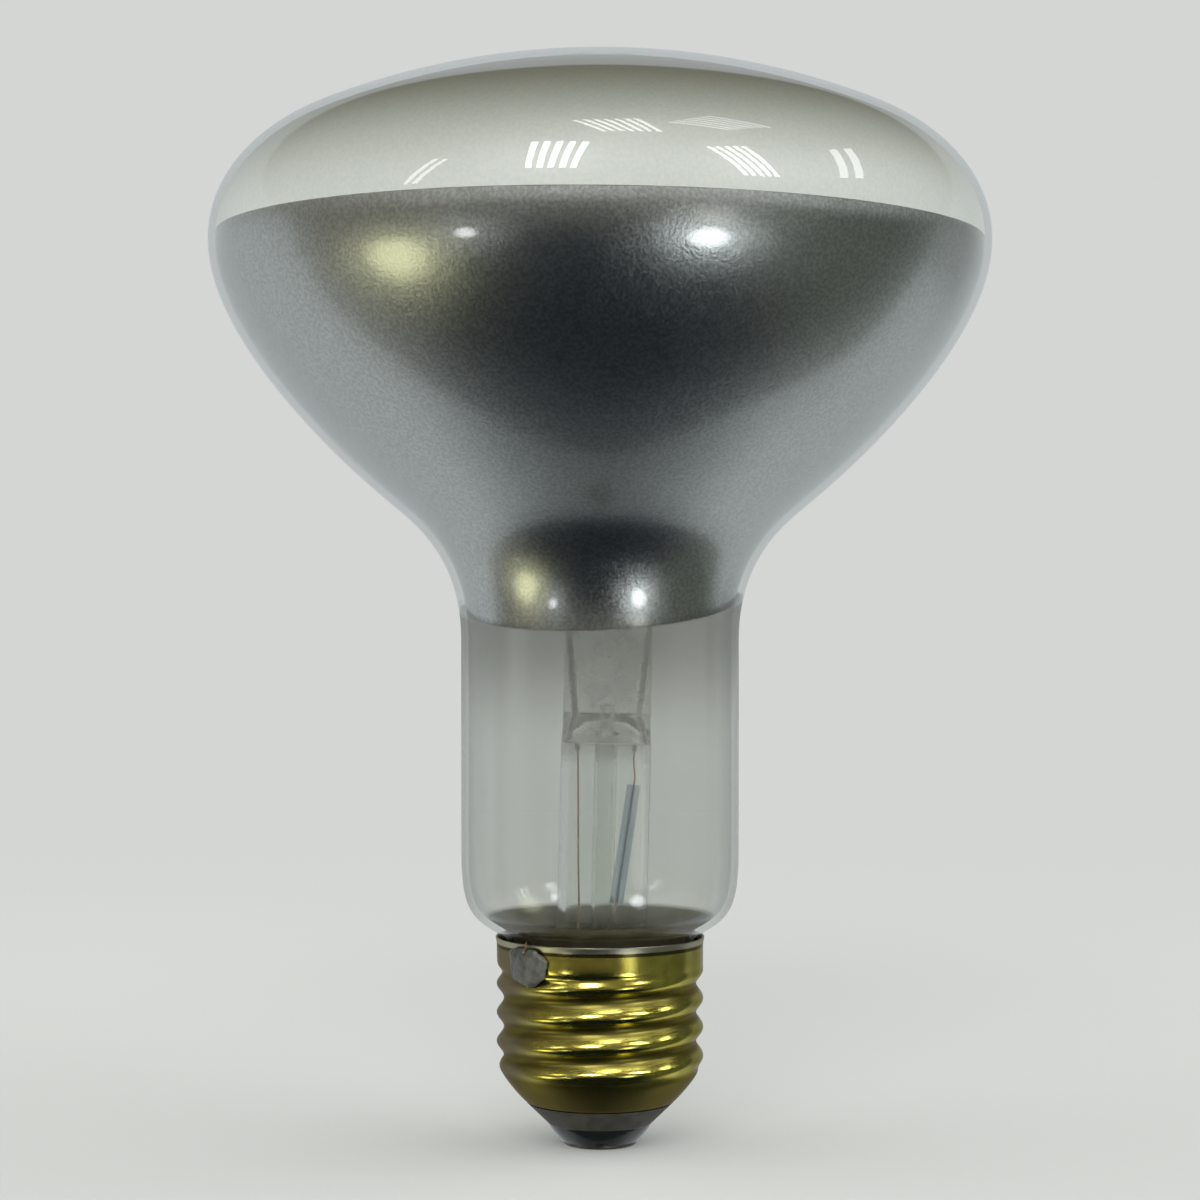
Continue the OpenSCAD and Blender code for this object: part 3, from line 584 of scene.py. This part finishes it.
def cone_glass():
    """Black glass: painted brownish grey on the cone as a reflection, bare at the nose."""
    material = bpy.data.materials.new("black_glass")
    tree = cleared(material)
    height = add(tree, "ShaderNodeSeparateXYZ", Vector=object_place(tree)).outputs["Z"]
    speck = grain(tree, 600.0)
    # Painted reflection: the cone is painted brownish grey, standing for the pale surroundings it mirrors;
    # the nose stays black
    cone_painted_sheen = maths(tree, "MULTIPLY", step_up(tree, height, 2.6 * MM, 2.9 * MM), 0.94)
    sheen_tones = blend_colours(tree, speck.outputs["Mask"], (0.036, 0.032, 0.022, 1), (0.055, 0.05, 0.036, 1))
    made = add(
        tree, "ShaderNodeBsdfPrincipled",
        Base_Color=blend_colours(tree, cone_painted_sheen, (0.011, 0.013, 0.012, 1), sheen_tones),
        Roughness=maths(tree, "MULTIPLY_ADD", cone_painted_sheen, 0.5, 0.14),
        Normal=bumped(tree, speck.outputs["Height"], 0.1, 0.1 * MM),
    )
    surface(tree, made.outputs[0])
    return material


def matt(name, dark, light, rough, scale, depth):
    return metal(name, dark, light, rough, scale, depth, metallic=0.0)


# Pieces
# Points closer than this are one point, and cuts take points within the other as on their plane
MERGE_DISTANCE = 0.002 * MM
CUT_DISTANCE = 0.001 * MM
# Edges sharper than these angles, in degrees, stay sharp
GLASS_ANGLE = 40
BRASS_ANGLE = 60
SPIN_STEPS = 96


def alone(piece):
    """Selects one object and makes it active."""
    if bpy.context.object and bpy.context.object.mode != "OBJECT":
        bpy.ops.object.mode_set(mode="OBJECT")
    bpy.ops.object.select_all(action="DESELECT")
    piece.select_set(True)
    bpy.context.view_layer.objects.active = piece


def editing(piece, select="SELECT"):
    alone(piece)
    bpy.ops.object.mode_set(mode="EDIT")
    bpy.ops.mesh.select_mode(type="VERT")
    bpy.ops.mesh.select_all(action=select)


def done_editing():
    bpy.ops.object.mode_set(mode="OBJECT")


def editing_faces(piece, wanted):
    """Opens a piece in edit mode with only the wanted faces selected."""
    editing(piece, select="DESELECT")
    bpy.ops.mesh.select_mode(type="FACE")
    done_editing()
    for face in piece.data.polygons:
        face.select = wanted(face)
    bpy.ops.object.mode_set(mode="EDIT")


def copied(node, name):
    """A merged copy of a CAD node's mesh, free of its stored normals."""
    piece = bpy.data.objects.new(name, frame["nodes"][node].data.copy())
    scene.collection.objects.link(piece)
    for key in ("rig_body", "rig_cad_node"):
        if key in piece:
            del piece[key]
    alone(piece)
    bpy.ops.mesh.customdata_custom_splitnormals_clear()
    editing(piece)
    bpy.ops.mesh.remove_doubles(threshold=MERGE_DISTANCE)
    done_editing()
    return piece


def modified(piece, kind, **settings):
    alone(piece)
    made = piece.modifiers.new(kind.lower(), kind)
    for key, value in settings.items():
        setattr(made, key, value)
    bpy.ops.object.modifier_apply(modifier=made.name)


def dress(piece, *materials):
    piece.data.materials.clear()
    for material in materials:
        piece.data.materials.append(material)


def fitted(piece, slot, *nodes):
    """Puts a finished piece in the frame in place of its CAD nodes."""
    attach(piece, "root")
    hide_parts(*nodes)


def smooth_all(piece, angle):
    alone(piece)
    bpy.ops.object.shade_smooth_by_angle(angle=math.radians(angle))


def blown_bulb():
    """The bulb's half section, spun round its axis and smoothed."""
    piece = copied("glass_bulb", "blown_bulb")
    editing(piece)
    bpy.ops.mesh.bisect(plane_co=(0, 0, 0), plane_no=(0, 1, 0), threshold=CUT_DISTANCE)
    done_editing()
    mesh = piece.data
    for vertex in mesh.vertices:
        on_section = abs(vertex.co.y) < MERGE_DISTANCE and vertex.co.x > -MERGE_DISTANCE
        vertex.select = not on_section
    for edge in mesh.edges:
        edge.select = False
    for face in mesh.polygons:
        face.select = False
    bpy.ops.object.mode_set(mode="EDIT")
    bpy.ops.mesh.delete(type="VERT")
    bpy.ops.mesh.select_all(action="SELECT")
    bpy.ops.mesh.remove_doubles(threshold=0.02 * MM)
    bpy.ops.mesh.spin(steps=SPIN_STEPS, angle=FULL_TURN, center=(0, 0, 0), axis=(0, 0, 1))
    bpy.ops.mesh.select_all(action="SELECT")
    bpy.ops.mesh.remove_doubles(threshold=0.01 * MM)
    bpy.ops.mesh.normals_make_consistent(inside=False)
    done_editing()
    modified(piece, "SUBSURF", levels=1, render_levels=1)
    smooth_all(piece, GLASS_ANGLE)
    return piece


def faces_inwards(face):
    return face.normal.dot(face.center - HEAD_MIDDLE) < 0


def bulb_pieces():
    bulb = blown_bulb()
    film = bpy.data.objects.new("mirror", bulb.data.copy())
    scene.collection.objects.link(film)
    outside = clear_skin("bulb_glass_outside", (0.94, 0.95, 0.94, 1), (0.62, 0.64, 0.62, 1))
    dress(bulb, outside, frosted_skin())
    for face in bulb.data.polygons:
        face.material_index = 1 if faces_inwards(face) else 0
    fitted(bulb, "bulb_glass", "glass_bulb")

    editing_faces(film, lambda face: not faces_inwards(face))
    bpy.ops.mesh.delete(type="FACE")
    bpy.ops.mesh.select_mode(type="VERT")
    bpy.ops.mesh.select_all(action="SELECT")
    bpy.ops.transform.shrink_fatten(value=FILM_GAP)
    bpy.ops.mesh.bisect(
        plane_co=(0, 0, MIRROR_TOP_Z), plane_no=MIRROR_TOP_UP, threshold=CUT_DISTANCE, clear_outer=True,
    )
    bpy.ops.mesh.select_all(action="SELECT")
    bpy.ops.mesh.bisect(
        plane_co=(0, 0, MIRROR_LOW_Z), plane_no=MIRROR_LOW_UP, threshold=CUT_DISTANCE, clear_inner=True,
    )
    bpy.ops.mesh.select_all(action="SELECT")
    bpy.ops.mesh.flip_normals()
    done_editing()
    modified(film, "SOLIDIFY", thickness=FILM_T, offset=-1)
    smooth_all(film, GLASS_ANGLE)
    dress(film, mirror_film())
    fitted(film, "mirror_film", "mirror_coating")


def cap_pieces():
    shell = copied("cap_shell", "brass_shell")
    editing(shell)
    bpy.ops.mesh.tris_convert_to_quads(face_threshold=math.radians(80), shape_threshold=math.radians(80))
    done_editing()
    modified(shell, "SUBSURF", levels=2, render_levels=2)
    smooth_all(shell, BRASS_ANGLE)
    dress(shell, cap_brass())
    fitted(shell, "cap_brass", "cap_shell")


def solder_lump(solder):
    """The frozen drop of solder on the band: the CAD lump, rounded and made uneven."""
    lump = copied("side_solder", "solder_lump")
    modified(lump, "REMESH", mode="VOXEL", voxel_size=0.11 * MM)
    modified(lump, "SMOOTH", factor=0.5, iterations=22)
    swell = bpy.data.textures.new("swell", "CLOUDS")
    swell.noise_scale = 1.3 * MM
    modified(lump, "DISPLACE", texture=swell, strength=0.6 * MM, mid_level=0.42, texture_coords="LOCAL")
    modified(lump, "SMOOTH", factor=0.5, iterations=2)
    smooth_all(lump, 180)
    dress(lump, solder)
    fitted(lump, "solder", "side_solder")


def dress_nodes():
    nodes = frame["nodes"]
    stem = stem_glass("stem_glass", (0.93, 0.95, 0.93, 1), milk=0.45)
    nickel = metal("lead_nickel", (0.30, 0.29, 0.28, 1), (0.42, 0.40, 0.38, 1), 0.35, 2500.0, 0.1)
    copper = metal("lead_copper", (0.34, 0.20, 0.13, 1), (0.52, 0.32, 0.20, 1), 0.35, 2500.0, 0.1)
    solder = metal("solder", (0.15, 0.15, 0.14, 1), (0.24, 0.24, 0.225, 1), 0.45, 800.0, 0.5, 0.8)
    contact = metal("contact_metal", (0.12, 0.11, 0.085, 1), (0.20, 0.18, 0.14, 1), 0.4, 900.0, 0.2)
    seal_wire = metal("seal_wire", (0.16, 0.10, 0.08, 1), (0.24, 0.16, 0.12, 1), 0.5, 2500.0, 0.1)
    finishes = {
        "stem": stem,
        "exhaust_tube": stem,
        "arbor": stem,
        "left_seal_wire": seal_wire,
        "right_seal_wire": seal_wire,
        "filament": metal("filament", (0.10, 0.10, 0.11, 1), (0.16, 0.16, 0.17, 1), 0.4, 3000.0, 0.1),
        "fuse_sleeve": stem_glass("sleeve_glass", (0.42, 0.50, 0.60, 1)),
        "side_lead": copper,
        "fuse_lead": copper,
        "contact_lead": copper,
        "fuse_wire": nickel,
        "left_inner_lead": nickel,
        "right_inner_lead": nickel,
        "support_wire_1": nickel,
        "support_wire_2": nickel,
        "support_wire_3": nickel,
        "cap_cement": matt("cap_cement", (0.11, 0.09, 0.06, 1), (0.17, 0.14, 0.10, 1), 0.8, 900.0, 0.4),
        "cap_insulator": cone_glass(),
        "centre_contact": contact,
        "contact_solder": solder,
    }
    for name, material in finishes.items():
        for place in nodes[name].material_slots:
            place.material = material
    solder_lump(solder)


bpy.ops.object.select_all(action="DESELECT")
studio_world()
floor()
softbox("key", (-0.12, -1.0, 0.7), (0, 0, 0.07), 0.7, 5.2, (1, 0.995, 0.98))
bulb_pieces()
cap_pieces()
dress_nodes()
